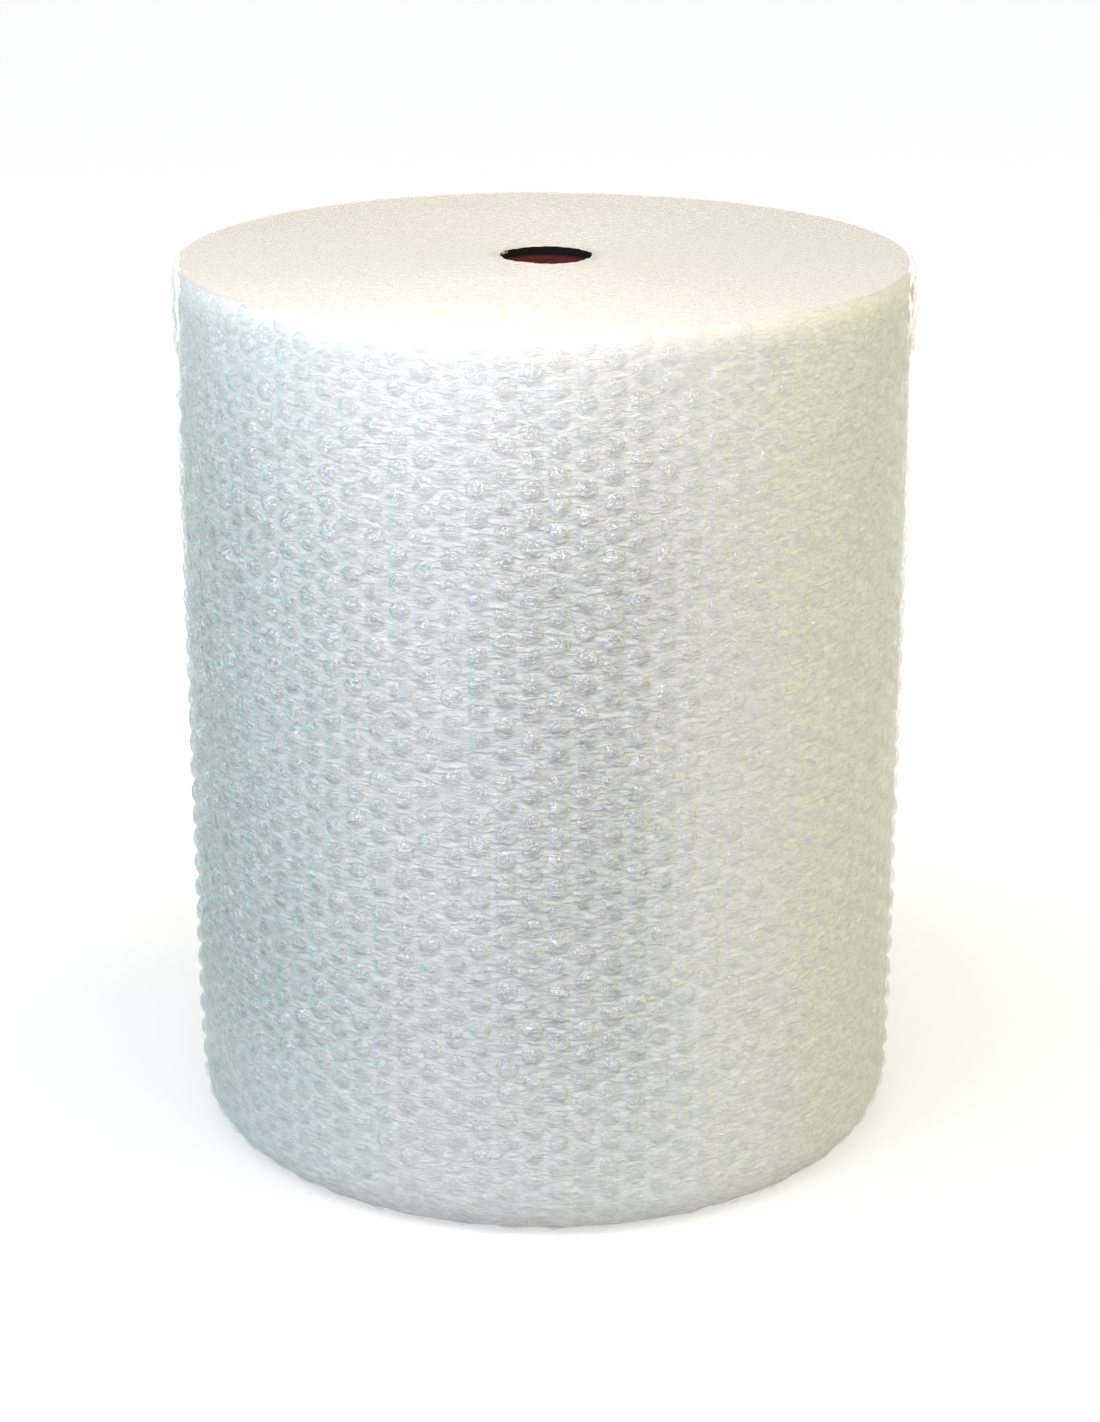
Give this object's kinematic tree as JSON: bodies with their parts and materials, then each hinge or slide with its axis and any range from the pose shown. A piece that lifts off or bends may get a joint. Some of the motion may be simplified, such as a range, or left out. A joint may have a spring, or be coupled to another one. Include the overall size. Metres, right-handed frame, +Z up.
{
  "type": "bubble wrap roll",
  "caption": "Wide roll of clear large-bubble cushioning film, wound on a paperboard core tube and standing on its end.",
  "frame": {"origin": "middle of the core tube's bore at its lower end, on the floor that the roll stands on", "axes": "+Z up the roll's axis; -Y is the side that faces the camera; the film's cut tail lies at the back, on +Y"},
  "size_m": [0.6156, 0.6185, 0.75],
  "materials": {
    "bubble_film": "clear milky polyethylene film, glossy on the bubbles",
    "core_board": "matt brown spiral-wound paperboard"
  },
  "bodies": {
    "root": {"bubble_film": "bubble_film", "core_tube": "core_board"}
  },
  "joints": []
}
